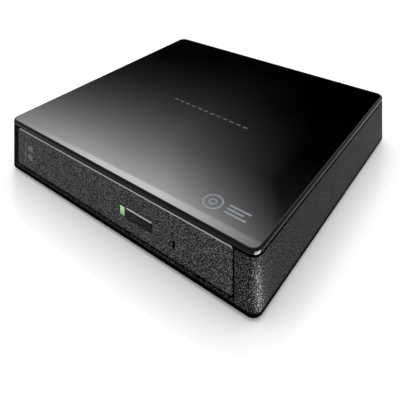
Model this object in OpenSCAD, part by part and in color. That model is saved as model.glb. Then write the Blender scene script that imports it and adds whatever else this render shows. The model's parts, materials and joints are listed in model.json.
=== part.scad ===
/* [Case] */
// Width of the case, left to right
case_w = 144; // [142:0.5:150]
// Depth of the case, front to back
case_d = 137.5; // [136:0.5:142]
// Height of the case above the desk, feet included
case_h = 25; // [25:0.25:27]
// Radius of the case's upright corners
corner_r = 4; // [3.5:0.5:6]
// Thickness of the case's walls
wall = 1.6; // [1.2:0.1:1.8]
// Height of the rubber feet below the case
foot_h = 0.8; // [0.6:0.1:1]

/* [Front] */
// Width of the case's fixed column at the front right corner
column_w = 9; // [8.5:0.5:9.5]
// Width of the tray's front bezel
bezel_w = 128.2; // [127.6:0.2:128.4]
// Height of the fixed strip under the bezel
strip_h = 3.4; // [3.2:0.1:3.6]
// Centre of the eject button, from the case's middle
button_x = 16.9; // [10:0.5:22]
// Width of the eject button
button_w = 14.2; // [10:0.5:15]
// Height of the eject button
button_h = 3.8; // [3:0.1:5]
// Width of the indicator light
led_w = 2.6; // [2:0.1:3]

/* [Drive] */
// Width of the slim drive unit inside the case
drive_w = 128; // [128]
// Height of the slim drive unit
drive_h = 12.7; // [12.7]
// How far the lens moves outwards along the disc
sled_travel = 34; // [30:1:34]

/* [Hidden] */
$fn = 48;
gap = 0.1;            // running clearance of the sliding parts
seam = 0.2;           // visible gap round the bezel
eps = 0.05;           // keeps faces of separate pieces from touching
front_y = -case_d / 2;
back_y = case_d / 2;
floor_t = 1.8;
floor_z = foot_h + floor_t;
lid_h = 1.9;
lid_z = case_h - lid_h;
lid_t = 1.5;
lid_under_z = case_h - lid_t;
strip_z = foot_h + strip_h;
column_r = 3;          // screw columns of the case
screw_head_r = 2.3;
mount_head_r = 1.9;
foot_r = 5;
column_top = lid_z - 3.5;   // where the lid's screw bosses meet the case's columns
bezel_z0 = strip_z + seam;
bezel_z1 = lid_z - 0.8;
column_x = case_w / 2 - column_w;
bezel_x1 = column_x - seam;
bezel_x0 = bezel_x1 - bezel_w;
bezel_t = 2.2;
control_z = 12.2;     // height of the button and the light
pinhole_x = 35.4;     // emergency-eject hole
pinhole_z = 10.5;
pinhole_r = 0.65;

usb_x = 50;           // middle of the socket in the back wall
usb_half = 3.9;
usb_t = 0.35;
usb_z0 = 6.7;         // underside and top of the socket
usb_z1 = 9.6;
board_z0 = 5.65;      // underside and top of the bridge board
board_z1 = 6.65;
drive_x = (bezel_x0 + bezel_x1) / 2;
latch_x = drive_x + 53;   // pivot of the tray's latch
latch_y = -46;
drive_z = 5;
drive_top = drive_z + drive_h;
drive_front = front_y + 6.2;
drive_back = drive_front + 122;
sheet = 0.5;
disc_y = -2.5;
disc_z = 13.9;        // underside of a loaded disc
disc_r = 60;
deck_z = 12;
deck_t = 1;
half_w = drive_w / 2;
tray_half = 58.8;
tray_front = front_y + 3.75;
tray_back = 57;
slide_z = 10;         // mid height of the rails
sled_angle = -135;    // the lens runs from the hub to the front left corner
rod_z = 8.9;
rod_r = 1.5;
rod_y = 17;
lens_r0 = 24;         // lens distance from the hub when parked
rod_end = lens_r0 + sled_travel + 3.9;
screw_y = 22.6;

// Corner screws: back left, back right and in the front column
case_screw_at = [[-64, back_y - 5.6], [66.2, 38], [case_w / 2 - 5, front_y + 6]];
// The drive's four screws from below
mount_screw_at = [for (sx = [-1, 1], y = [-46, 44]) [drive_x + sx * (half_w - 6.5), y]];
foot_at = [for (sx = [-1, 1], sy = [-1, 1]) [sx * (case_w / 2 - 12), sy * (case_d / 2 - 13)]];
board_post_at = [[0, 63.3], [30, 63.3], [66, 50]];
damper_at = [[-14, -19.5], [-15.2, 20], [46, -22.4]];

module rounded(w, d, r) {
    hull() for (sx = [-1, 1], sy = [-1, 1])
        translate([sx * (w / 2 - r), sy * (d / 2 - r)]) circle(r);
}

module outline(inset = 0) {
    rounded(case_w - 2 * inset, case_d - 2 * inset, corner_r - inset);
}

module block(x0, x1, y0, y1, z0, z1) {
    translate([x0, y0, z0]) cube([x1 - x0, y1 - y0, z1 - z0]);
}

module rod_z_axis(at, r, z0, z1) {
    translate([at[0], at[1], z0]) cylinder(h = z1 - z0, r = r);
}

// Places its children in the pickup's own axes: +X outwards from the hub, along the sled's way
module sled_frame() {
    translate([drive_x, disc_y, 0]) rotate([0, 0, sled_angle]) children();
}

module rod_x_axis(x0, x1, y, z, r) {
    translate([x0, y, z]) rotate([0, 90, 0]) cylinder(h = x1 - x0, r = r);
}

// ---- Case ----

module case_shell_outer() {
    hull() {
        translate([0, 0, foot_h]) linear_extrude(0.01) outline(1.3);
        translate([0, 0, foot_h + 0.4]) linear_extrude(0.01) outline(0.5);
        translate([0, 0, foot_h + 1.3]) linear_extrude(lid_z - eps - foot_h - 1.3) outline();
    }
}

module bottom_case() {
    color([0.13, 0.13, 0.14]) difference() {
        union() {
            difference() {
                case_shell_outer();
                translate([0, 0, floor_z]) linear_extrude(case_h) outline(wall);
                // opening for the drive's front
                block(bezel_x0 - seam, column_x, front_y - 1, front_y + wall + 0.1, strip_z, case_h);
            }
            intersection() {
                translate([0, 0, foot_h + 0.5]) linear_extrude(lid_z - foot_h - 1.5) outline(0.6);
                block(column_x, case_w / 2, front_y, front_y + 10.5, foot_h + 0.5, lid_z - 1);
            }
            for (p = case_screw_at) rod_z_axis(p, column_r, floor_z - 0.5, column_top);
            for (p = mount_screw_at) rod_z_axis(p, column_r, floor_z - 0.5, drive_z);
            // posts under the bridge board
            for (p = board_post_at) rod_z_axis(p, 1.6, floor_z - 0.5, board_z0 - eps);
        }
        for (p = case_screw_at) {
            rod_z_axis(p, 1.1, 0, case_h);
            rod_z_axis(p, screw_head_r + 0.2, 0, foot_h + 1.8);
            rod_z_axis(p, column_r, column_top, case_h);
        }
        for (p = mount_screw_at) {
            rod_z_axis(p, 1.1, 0, drive_z + 1);
            rod_z_axis(p, mount_head_r + 0.2, 0, foot_h + 1.1);
        }
        for (p = foot_at) rod_z_axis(p, foot_r + 0.2, 0, foot_h + 0.5);
        // opening for the cable's plug in the back wall
        block(usb_x - usb_half - 0.5, usb_x + usb_half + 0.5, back_y - wall - 1, back_y + 1,
            usb_z0 - 0.3, usb_z1 + 0.3);
    }
}

module top_cover() {
    color([0.05, 0.05, 0.055]) difference() {
        union() {
            difference() {
                hull() {
                    translate([0, 0, lid_z]) linear_extrude(lid_h - 0.9) outline();
                    translate([0, 0, case_h - 0.45]) linear_extrude(0.01) outline(0.12);
                    translate([0, 0, case_h - 0.12]) linear_extrude(0.01) outline(0.45);
                    translate([0, 0, case_h - 0.01]) linear_extrude(0.01) outline(0.9);
                }
                translate([0, 0, lid_z - 1]) linear_extrude(1 + lid_h - lid_t) outline(wall);
            }
            for (p = case_screw_at) rod_z_axis(p, column_r - 0.2, column_top + gap, lid_under_z + 0.2);
            // clips down the left and right walls
            for (sx = [-1, 1], y = [-20, 22]) {
                x = sx * (case_w / 2 - wall - 0.6);
                block(x - 0.5, x + 0.5, y - 5, y + 5, column_top, lid_under_z + 0.2);
            }
        }
        for (p = case_screw_at) rod_z_axis(p, 1, column_top - 1, lid_under_z);
    }
}

module rubber_feet() {
    color([0.08, 0.08, 0.08]) for (p = foot_at) translate([p[0], p[1], 0])
        rotate_extrude() polygon([[0, 0], [foot_r - 0.4, 0], [foot_r, 0.4], [foot_r, foot_h + 0.45],
            [0, foot_h + 0.45]]);
}

module pan_screw(at, head_r, head_h, shank_r, z0, z1) {
    difference() {
        union() {
            rod_z_axis(at, head_r, z0, z0 + head_h);
            rod_z_axis(at, shank_r, z0 + head_h, z1);
        }
        // crossed drive slots
        block(at[0] - head_r * 0.6, at[0] + head_r * 0.6, at[1] - 0.25, at[1] + 0.25, z0 - 1, z0 + 0.6);
        block(at[0] - 0.25, at[0] + 0.25, at[1] - head_r * 0.6, at[1] + head_r * 0.6, z0 - 1, z0 + 0.6);
    }
}

module case_screws() {
    color([0.3, 0.3, 0.32]) for (p = case_screw_at) pan_screw(p, screw_head_r, 1.2, 0.95, 1.35,
        lid_under_z - 0.5);
}

module drive_mount_screws() {
    color([0.6, 0.6, 0.62]) for (p = mount_screw_at) pan_screw(p, mount_head_r, 0.85, 0.9, 1,
        drive_z + 0.8);
}

// ---- Drive unit, fixed in the case ----

module chassis_pan() {
    x0 = drive_x - half_w;
    x1 = drive_x + half_w;
    color([0.72, 0.73, 0.74]) difference() {
        block(x0, x1, drive_front, drive_back, drive_z + eps, drive_top - sheet - eps);
        block(x0 + sheet, x1 - sheet, drive_front - 1, drive_back - sheet,
            drive_z + eps + sheet, case_h);
        block(-34, 8, drive_back - 2, drive_back + 1, drive_z + 1.6, drive_z + 6);
        for (p = mount_screw_at) rod_z_axis(p, 1, 0, drive_z + 2);
        // weight-saving windows in the floor
        for (x = [-46, 18]) translate([x, 18, drive_z - 1]) linear_extrude(2)
            translate([10, 12]) rounded(24, 34, 4);
    }
}

module chassis_cover() {
    x0 = drive_x - half_w;
    x1 = drive_x + half_w;
    flange_z = drive_top - 3.2;
    color([0.76, 0.77, 0.78]) difference() {
        union() {
            block(x0, x1, drive_front, drive_back, drive_top - sheet, drive_top);
            for (x = [x0 + sheet + gap, x1 - 2 * sheet - gap])
                block(x, x + sheet, drive_front + 2, drive_back - 4, flange_z, drive_top - 0.1);
        }
        // stamped relief over the hub
        translate([drive_x, disc_y, drive_top - 0.25]) difference() {
            cylinder(h = 1, r = 22);
            translate([0, 0, -1]) cylinder(h = 3, r = 16);
        }
    }
}

module foam_pads() {
    color([0.2, 0.2, 0.21]) for (x = [drive_x - 48, drive_x + 48], y = [-44, 46])
        block(x - 6, x + 6, y - 4, y + 4, drive_top + eps, lid_under_z - eps);
}

module rail_guide() {
    difference() {
        block(60.4, half_w - sheet - eps, drive_front + 1.5, tray_back, slide_z - 3, slide_z + 3);
        block(60, half_w - sheet - 1.3, drive_front, tray_back + 1, slide_z - 2, slide_z + 2);
    }
}

module rail() {
    x1 = half_w - sheet - 1.4;
    difference() {
        block(59, x1, drive_front + 2, 50, slide_z - 2 + gap, slide_z + 2 - gap);
        block(58, x1 - 1.1, drive_front, 51, slide_z - 1.1, slide_z + 1.1);
    }
}

module left_rail_guide() {
    color([0.12, 0.12, 0.12]) translate([drive_x, 0, 0]) mirror([1, 0, 0]) rail_guide();
}

module right_rail_guide() {
    color([0.12, 0.12, 0.12]) translate([drive_x, 0, 0]) rail_guide();
}

module left_rail() {
    color([0.62, 0.63, 0.65]) translate([drive_x, 0, 0]) mirror([1, 0, 0]) rail();
}

module right_rail() {
    color([0.62, 0.63, 0.65]) translate([drive_x, 0, 0]) rail();
}

module drive_board() {
    color([0.08, 0.3, 0.14]) block(-52, 44, tray_back + 0.7, tray_back + 1.5, 6, 14);
}

module drive_connector() {
    color([0.1, 0.1, 0.1]) difference() {
        block(-32, 6, tray_back + 1.55, drive_back + 1.3, 6.85, 10.6);
        block(-30, 4, drive_back - 0.4, drive_back + 2, 7.8, 9.6);
    }
}

module bridge_board() {
    color([0.06, 0.25, 0.12]) difference() {
        union() {
            block(-34, 65, drive_back + 0.7, back_y - wall - 0.45, board_z0, board_z1);
            block(63.2, 68.6, 46, 63, board_z0, board_z1);
        }
        for (p = [for (k = [1, 2]) board_post_at[k]]) rod_z_axis(p, 0.9, board_z0 - 1, board_z1 + 1);
    }
}

module bridge_chips() {
    color([0.06, 0.06, 0.07]) {
        block(14, 23, 60.9, 65.9, board_z1 + eps, 7.7);
        block(34, 38, 61.5, 65.5, board_z1 + eps, 7.5);
        block(63.9, 67.5, 52.5, 56.5, board_z1 + eps, 7.5);
    }
    color([0.7, 0.7, 0.7]) block(56, 60.5, 61.6, 65, board_z1 + eps, 8.6);
}

module bridge_connector() {
    color([0.12, 0.12, 0.12]) union() {
        block(-32, 6, drive_back + 1.4, back_y - 2.25, board_z1 + eps, 10.6);
        block(-29.8, 3.8, drive_back - 0.3, drive_back + 1.5, 8, 9.4);
    }
}

module usb_socket() {
    color([0.75, 0.76, 0.78]) difference() {
        block(usb_x - usb_half, usb_x + usb_half, back_y - 6.4, back_y - 0.5, usb_z0, usb_z1);
        block(usb_x - usb_half + usb_t, usb_x + usb_half - usb_t, back_y - 5.6, back_y + 1,
            usb_z0 + usb_t, usb_z1 - usb_t);
    }
    color([0.1, 0.1, 0.1]) block(usb_x - 2.2, usb_x + 2.2, back_y - 5.55, back_y - 1.6,
        usb_z0 + 1.7, usb_z1 - usb_t - eps);
}

module latch_post() {
    color([0.6, 0.6, 0.6]) rod_z_axis([latch_x + 3.5, -55], 1.2, drive_z + sheet + 2 * eps, 7.6);
}

module flex_cable() {
    color([0.75, 0.6, 0.3]) block(-14, 4, -54, tray_back - 2, 5.62, 5.8);
}

// ---- Tray ----

module tray() {
    color([0.1, 0.1, 0.11]) difference() {
        union() {
            translate([drive_x, 0, 0]) {
                block(-tray_half, tray_half, tray_front + 1.6, tray_back, deck_z, disc_z + 0.5);
                block(-tray_half + 0.8, tray_half - 0.8, tray_front, tray_front + 1.8, 6.8, 16.6);
                for (s = [-1, 1]) {
                    x = s * (tray_half - 0.4);
                    block(x - 0.4, x + 0.4, tray_front + 1, tray_back, 7, deck_z + 0.1);
                    block(min(s * 58.5, s * 60.85), max(s * 58.5, s * 60.85),
                        tray_front + 8, tray_back, slide_z - 1, slide_z + 1);
                }
                block(-tray_half + 0.5, tray_half - 0.5, tray_back - 0.8, tray_back, 9, deck_z + 0.1);
            }
            rod_z_axis([latch_x, latch_y], 1, 6.9, deck_z + 0.1);
        }
        // recess for the disc, with finger scoops at its front corners
        translate([drive_x, disc_y, deck_z + deck_t]) cylinder(h = 10, r = disc_r + 0.55, $fn = 96);
        translate([drive_x, disc_y, deck_z - 1]) cylinder(h = 4, r = 15.2);
        sled_frame() block(0, 64, -11, 11, deck_z - 1, deck_z + 4);
        // room for the switch and the light behind the front wall
        block(button_x - 3.2, button_x + 3.2, tray_front - 1, tray_front + 3, control_z - 3, control_z + 3);
        block(led_x() - 1.6, led_x() + 1.6, tray_front - 1, tray_front + 1.9, control_z - 2, control_z + 2);
        // emergency-eject passage
        translate([pinhole_x, tray_front - 1, pinhole_z]) rotate([-90, 0, 0])
            cylinder(h = 5, r = pinhole_r + 0.15);
    }
}

function led_x() = button_x - button_w / 2 - led_w / 2 - 0.6;

module tray_bezel() {
    color([0.12, 0.12, 0.13]) difference() {
        block(bezel_x0, bezel_x1, front_y, tray_front - eps, bezel_z0, bezel_z1);
        // hollow back, with the front plate left standing
        block(bezel_x0 + 1.8, bezel_x1 - 1.8, front_y + bezel_t, front_y + 20,
            bezel_z0 + 1.8, bezel_z1 - 1.8);
        block(button_x - button_w / 2 - 0.15, button_x + button_w / 2 + 0.15, front_y - 1, front_y + 9,
            control_z - button_h / 2 - 0.15, control_z + button_h / 2 + 0.15);
        block(led_x() - led_w / 2, led_x() + led_w / 2, front_y - 1, front_y + 9,
            control_z - button_h / 2, control_z + button_h / 2);
        hull() for (dz = [-1, 1]) translate([pinhole_x, front_y - 1, pinhole_z + dz * 0.9])
            rotate([-90, 0, 0]) cylinder(h = 9, r = pinhole_r, $fn = 24);
    }
}

module led_lens() {
    color([0.5, 0.95, 0.45]) union() {
        block(led_x() - led_w / 2 + eps, led_x() + led_w / 2 - eps, front_y, front_y + bezel_t + 1,
            control_z - button_h / 2 + eps, control_z + button_h / 2 - eps);
        block(led_x() - 1, led_x() + 1, front_y + 3, tray_front + 1.7, control_z - 1.2, control_z + 1.2);
    }
}

module eject_button() {
    color([0.14, 0.14, 0.15]) union() {
        block(button_x - button_w / 2, button_x + button_w / 2, front_y, front_y + 2.6,
            control_z - button_h / 2, control_z + button_h / 2);
        block(button_x - 1.5, button_x + 1.5, front_y + 2.5, tray_front - 0.5, control_z - 1, control_z + 1);
    }
}

module front_board() {
    color([0.08, 0.3, 0.14])
        block(led_x() - 2, button_x + 6, tray_front + 1.85, tray_front + 2.45, 6.9, 11.9);
}

module eject_switch() {
    color([0.8, 0.8, 0.82]) union() {
        block(button_x - 2.6, button_x + 2.6, tray_front + 0.6, tray_front + 1.8,
            control_z - 2.4, control_z + 2.4);
        translate([button_x, tray_front + 0.35, control_z]) rotate([-90, 0, 0]) cylinder(h = 0.5, r = 1.2);
    }
}

// ---- Reading mechanism, carried under the tray ----

module mech_chassis() {
    color([0.66, 0.67, 0.69]) sled_frame() difference() {
        union() {
            translate([0, 0, 11.4]) linear_extrude(0.4) polygon([[-18, -25], [54, -25], [62, -19],
                [66, -14], [66, 14], [59, 25.5], [-18, 25.5]]);
            // holders for the rod ends and the lead screw's far end
            for (s = [-1, 1], x = [13, rod_end - 1.5])
                block(x, x + 1.4, s * rod_y - 2.6, s * rod_y + 2.6, 6.6, 11.5);
            block(57.5, 59, screw_y - 2, screw_y + 1.7, 6.6, 11.5);
        }
        translate([0, 0, 6]) cylinder(h = 9, r = 12.6);
        block(12.5, 64.6, -14.3, 14.3, 11, 13);
        for (s = [-1, 1]) rod_x_axis(12, 64, s * rod_y, rod_z, rod_r + 0.01);
        rod_x_axis(57, 60, screw_y, rod_z, 0.65);
        for (p = damper_at) rod_z_axis(p, 1.3, 11, 13);
    }
}

module damper_bushes() {
    color([0.15, 0.15, 0.16]) sled_frame() for (p = damper_at) difference() {
        rod_z_axis(p, 2.6, 9.6, 11.35);
        rod_z_axis(p, 1, 9, 12);
    }
}

module damper_screws() {
    color([0.75, 0.75, 0.76]) sled_frame() for (p = damper_at) union() {
        rod_z_axis(p, 2.2, 8.7, 9.55);
        rod_z_axis(p, 0.95, 9.5, 11.95);
    }
}

module guide_rods() {
    color([0.85, 0.86, 0.88]) sled_frame() for (s = [-1, 1])
        rod_x_axis(12.8, rod_end, s * rod_y, rod_z, rod_r);
}

module spindle_motor() {
    color([0.7, 0.7, 0.72]) translate([drive_x, disc_y, 0]) difference() {
        union() {
            rod_z_axis([0, 0], 12, 6.5, 7.3);
            rod_z_axis([0, 0], 3, 7, 10.4);
            for (k = [0:8]) rotate([0, 0, 40 * k]) block(2.5, 8.6, -0.9, 0.9, 8, 10);
        }
        rod_z_axis([0, 0], 1.55, 6.9, 12);
    }
}

module sled_motor() {
    color([0.78, 0.78, 0.8]) sled_frame() difference() {
        rod_x_axis(-9, 4, screw_y, rod_z, 2.4);
        rod_x_axis(2, 5, screw_y, rod_z, 0.65);
    }
}

module tray_board() {
    color([0.06, 0.28, 0.13]) translate([drive_x, 0, 10.8]) linear_extrude(0.9)
        polygon([[18, 16], [56, -8], [56, 50], [-16, 50], [-16, 44]]);
    color([0.06, 0.06, 0.07]) {
        block(drive_x + 26, drive_x + 38, 22, 34, 9.6, 10.75);
        block(drive_x + 42, drive_x + 50, 10, 18, 9.8, 10.75);
    }
}

module latch_magnet() {
    color([0.72, 0.5, 0.25]) union() {
        rod_x_axis(latch_x - 15, latch_x - 5, -48, 9.2, 2.4);
        for (x = [latch_x - 16, latch_x - 5]) block(x, x + 1, -50.5, -45.5, 6.8, 11.6);
    }
}

module tray_latch() {
    color([0.85, 0.84, 0.8]) difference() {
        union() {
            rod_z_axis([latch_x, latch_y], 2.4, 7, 9);
            block(latch_x - 1.1, latch_x + 1.1, -57.5, latch_y, 7, 9);
            block(latch_x - 1, latch_x + 2, -58.4, -57, 7, 9);
        }
        rod_z_axis([latch_x, latch_y], 1.05, 6, 12);
    }
}

module mech_cover() {
    color([0.6, 0.61, 0.63]) difference() {
        block(drive_x - 56, latch_x - 5, tray_front + 3, tray_back - 2, 5.95, 6.35);
        for (x = [-30 : 12 : 30]) block(drive_x + x - 2, drive_x + x + 2, 33, 47, 5, 8);
    }
}

module turntable() {
    color([0.2, 0.2, 0.21]) translate([drive_x, disc_y, 0]) union() {
        rotate_extrude() polygon([[0, 7.6], [1.5, 7.6], [1.5, 10.6], [9.4, 10.6], [9.4, 7.9], [10.4, 7.9],
            [10.4, 11.3], [4, 11.3], [4, 11.9], [14, 11.9], [14, disc_z], [7.45, disc_z],
            [7.45, disc_z + 1.2], [6.6, disc_z + 2], [0, disc_z + 2]]);
    }
}

module disc_claws() {
    color([0.85, 0.85, 0.84]) translate([drive_x, disc_y, 0]) for (k = [0:2]) rotate([0, 0, 120 * k + 30])
        block(3.6, 6.4, -1.4, 1.4, disc_z + 2.05, disc_z + 2.45);
}

module pickup_body() {
    x0 = lens_r0 - 9;
    x1 = lens_r0 + 2;
    color([0.25, 0.26, 0.28]) sled_frame() difference() {
        union() {
            block(x0, lens_r0 + 7, -13.4, 13.4, 6.6, 11.25);
            for (s = [-1, 1]) block(x0, x1, s * rod_y - (s < 0 ? 2.6 : 4.6), s * rod_y + (s < 0 ? 4.6 : 2.6),
                6.8, 11);
            // finger that runs in the lead screw's groove
            block(x0, x0 + 3, rod_y + 2, screw_y - 1.35, 8.3, 9.5);
        }
        for (s = [-1, 1]) rod_x_axis(0, 70, s * rod_y, rod_z, rod_r + 0.06);
        rod_z_axis([0, 0], 11.2, 0, 20);
        rod_z_axis([lens_r0, 0], 4.4, 9.5, 13);
    }
}

module objective_lens() {
    color([0.35, 0.4, 0.62]) sled_frame() translate([lens_r0, 0, 0]) rotate_extrude() polygon([[0, 10.2],
        [3.9, 10.2], [3.9, 12.4], [3, 12.6], [2.4, 12.6], [1.6, 12.95], [0, 13.05]]);
}

module lead_screw() {
    pitch = 1;
    color([0.8, 0.78, 0.6]) sled_frame() difference() {
        union() {
            rod_x_axis(2.1, 58.9, screw_y, rod_z, 0.6);
            rod_x_axis(4.3, 57.3, screw_y, rod_z, 1.25);
        }
        for (x = [6 : pitch * 2 : 56]) translate([x, screw_y, rod_z]) rotate([0, 90, 0])
            rotate_extrude($fn = 24) polygon([[1, 0], [2, -0.5], [2, 0.5]]);
    }
}

bottom_case();
top_cover();
rubber_feet();
case_screws();
drive_mount_screws();
chassis_pan();
chassis_cover();
foam_pads();
left_rail_guide();
right_rail_guide();
drive_board();
drive_connector();
bridge_board();
bridge_chips();
bridge_connector();
usb_socket();
latch_post();
flex_cable();
left_rail();
right_rail();
tray();
tray_bezel();
led_lens();
eject_button();
front_board();
eject_switch();
mech_chassis();
damper_bushes();
damper_screws();
guide_rods();
spindle_motor();
sled_motor();
tray_board();
latch_magnet();
mech_cover();
turntable();
disc_claws();
pickup_body();
objective_lens();
lead_screw();
tray_latch();
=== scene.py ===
import json
import math

import bmesh
import bpy
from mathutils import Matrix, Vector


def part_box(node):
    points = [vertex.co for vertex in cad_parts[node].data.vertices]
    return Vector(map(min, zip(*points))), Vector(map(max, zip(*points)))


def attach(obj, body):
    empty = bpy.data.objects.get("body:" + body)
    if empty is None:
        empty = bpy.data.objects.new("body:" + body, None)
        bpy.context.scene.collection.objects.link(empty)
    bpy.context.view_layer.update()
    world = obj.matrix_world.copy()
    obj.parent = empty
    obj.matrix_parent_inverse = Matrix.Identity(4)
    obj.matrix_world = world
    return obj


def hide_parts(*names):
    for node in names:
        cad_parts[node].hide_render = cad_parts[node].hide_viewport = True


# The looks of an external optical drive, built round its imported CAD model. Lengths are metres.
MM = 0.001

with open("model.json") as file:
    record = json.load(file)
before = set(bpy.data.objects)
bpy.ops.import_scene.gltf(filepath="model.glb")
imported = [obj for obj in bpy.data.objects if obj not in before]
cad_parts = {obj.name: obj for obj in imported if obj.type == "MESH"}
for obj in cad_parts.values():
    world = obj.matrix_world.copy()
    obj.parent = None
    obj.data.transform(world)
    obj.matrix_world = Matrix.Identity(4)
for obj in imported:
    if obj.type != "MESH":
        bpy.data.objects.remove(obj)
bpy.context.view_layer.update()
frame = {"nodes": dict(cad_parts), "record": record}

# ---- Sizes read from the frame ----

case_low, case_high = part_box("bottom_case")
lid_low, lid_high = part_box("top_cover")
bezel_low, bezel_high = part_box("tray_bezel")
button_low, button_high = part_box("eject_button")
led_low, led_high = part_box("led_lens")
socket_low, socket_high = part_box("usb_socket")
board_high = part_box("tray_board")[1]

HALF_W = case_high.x
HALF_D = case_high.y
FRONT = case_low.y
CASE_BOTTOM = case_low.z
PART_Z = case_high.z                  # top of the lower case
LID_Z = PART_Z + 0.05 * MM            # lower edge of the lid
TOP_Z = lid_high.z
CONTROL_Z = (button_low.z + button_high.z) / 2
BUTTON_X = (button_low.x + button_high.x) / 2
LED_X = (led_low.x + led_high.x) / 2
SOCKET_X = (socket_low.x + socket_high.x) / 2
DRIVE_X = (bezel_low.x + bezel_high.x) / 2

# ---- Sizes of the case ----

CORNER_R = 4 * MM
WALL = 1.6 * MM
SEAM = 0.2 * MM
FLOOR_TOP_Z = CASE_BOTTOM + 1.8 * MM  # inside of the case's floor
STRIP_Z = bezel_low.z - SEAM          # top of the strip under the bezel
COLUMN_X = bezel_high.x + SEAM        # left side of the front column
COLUMN_DEPTH = 10.5 * MM
CORE_INSET = 0.9 * MM
WALL_EDGE = 0.2 * MM
EDGE_BULGE = 0.3                      # where a three-point rounded edge has its middle point
GROOVE_H = 0.8 * MM                   # rebate under the lid, round the tall walls
GROOVE_DEPTH = 0.8 * MM
GROOVE_Z = PART_Z - GROOVE_H
FOOT_BEVEL_MM = ((1.3, 0), (0.85, 0.12), (0.5, 0.4), (0.18, 0.82), (0, 1.3))  # inset and height

SOCKET_HALF_W = 4.4 * MM              # the opening in the back wall
SOCKET_Z = (6.4 * MM, 9.9 * MM)
SOCKET_EDGE = 0.6 * MM
CASE_SCREW_AT = [(-64 * MM, HALF_D - 5.6 * MM), (66.2 * MM, 38 * MM), (HALF_W - 5 * MM, FRONT + 6 * MM)]
CASE_SCREW_R = 2.5 * MM
CASE_SCREW_DEPTH = 1.4 * MM
MOUNT_SCREW_AT = [(DRIVE_X + side * 57.5 * MM, y) for side in (-1, 1) for y in (-46 * MM, 44 * MM)]
MOUNT_SCREW_R = 2.1 * MM
MOUNT_SCREW_DEPTH = 1.1 * MM
FOOT_AT = [(sx * (HALF_W - 12 * MM), sy * (HALF_D - 13 * MM)) for sx in (-1, 1) for sy in (-1, 1)]
FOOT_R = 5.2 * MM
FOOT_DEPTH = 0.5 * MM

# ---- Sizes of the lid ----

LID_EDGE_R = 0.9 * MM
LID_LOWER_EDGE = 0.25 * MM
LID_UNDER_Z = TOP_Z - 1.5 * MM
LID_ROOT = 0.2 * MM                   # how far bosses and clips run into the lid's top
BOSS_R = 2.8 * MM
CLIP_Y = (-20 * MM, 22 * MM)
CLIP_X = HALF_W - WALL - 0.6 * MM
CLIP_HALF_T = 0.5 * MM
CLIP_HALF_L = 5 * MM
CLIP_EDGE = 0.12 * MM

# ---- Sizes of the bezel, its button and its light ----

BEZEL_PLATE_T = 0.9 * MM              # the bezel's full-size front plate
BEZEL_BACK_INSET = 1.3 * MM           # the body behind it is smaller, which makes a gap, darkened further by painted shade
BEZEL_HOLLOW_INSET = BEZEL_BACK_INSET + 1.2 * MM
BEZEL_FRONT_T = 2.2 * MM
BEZEL_CORNER_R = 1.1 * MM
BEZEL_END_GAP = 0.75 * MM             # shadow gaps beside the column and above the strip
BEZEL_LOW_GAP = 0.7 * MM
BEZEL_EDGE_R = 0.35 * MM
HOLE_BEFORE = 1 * MM                  # how far cutters reach before and behind the front
HOLE_BEHIND = 9 * MM
PINHOLE_X = 35.4 * MM
PINHOLE_Z = 10.5 * MM
PINHOLE_R = 0.8 * MM
PINHOLE_HALF_H = 1.9 * MM
BUTTON_PLAY = 0.4 * MM
BUTTON_SIDE_PLAY = 0.1 * MM           # on the side of the light
BUTTON_T = 2.6 * MM
BUTTON_EDGE = 0.45 * MM
BUTTON_STEM_FRONT = 2.2 * MM
BUTTON_STEM_HALF_W = 1.5 * MM
BUTTON_STEM_HALF_H = 1 * MM
LED_PLAY = 0.05 * MM
LED_PROUD = 0.05 * MM
LED_T = 3.2 * MM
LED_EDGE = 0.3 * MM
LED_PIPE_FRONT = 3 * MM
LED_PIPE_HALF_W = 1 * MM
LED_PIPE_HALF_H = 1.2 * MM
STEM_EDGE = 0.1 * MM

# ---- Sizes of the printed marks, in millimetres ----

INK_T = 0.03
INK_EDGE = 0.02
BAR_HALF_H = 0.45
DISC_AT = (45.6, -57.2)
DISC_RINGS = ((4.2, 3.5), (1.7, 1.1))
LID_BARS = ((-55.0, 61.5), (-57.0, 59.5), (-59.0, 61.5))  # y and right end
LID_BARS_X = 52.0
DASH_COUNT = 12
DASH_L = 2.6
DASH_PITCH = 4.1
DASH_START = (-18.5, -3.6)
DASH_DRIFT = -0.2                     # the row of dashes drifts forward as it runs right
BEZEL_BLOCKS = ((-59.4, -58.9, 9.0, 17.5), (-57.0, -53.5, 14.2, 16.6), (-57.0, -53.5, 10.0, 12.4))

# ---- Smoothness of round shapes ----

CORNER_STEPS = 24
FILLET_STEPS = 6
LID_FILLET_STEPS = 10
PLATE_CORNER_STEPS = 8
PINHOLE_STEPS = 10
POST_STEPS = 40
TUBE_STEPS = 48

# ---- Camera and studio ----

EYE = Vector((0.158021, -0.213306, 0.159064))
EYE_TURN_DEG = 36.4507
EYE_DOWN_DEG = 0.3154
LENS_MM = 45.186
SENSOR_MM = 36
SHIFT_X = -0.01752
SHIFT_Y = -0.86070
STATION_SLACK = 0.0005                # how near the eye counts as the main station

ROOM_LIGHT = 1.42
FLOOR_HALF = 4
FLOOR_ALBEDO = 0.9
FLOOR_GLOSS = 0.11
FLOOR_ROUGHNESS = 0.25

KICKER_LIGHT = 45.0
KICKER_NEAR = 8 * MM
KICKER_FAR = 75 * MM
KICKER_TURN_DEG = -10
KICKER_HALF_DEG = 32
KICKER_Z = 0.1 * MM

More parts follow.
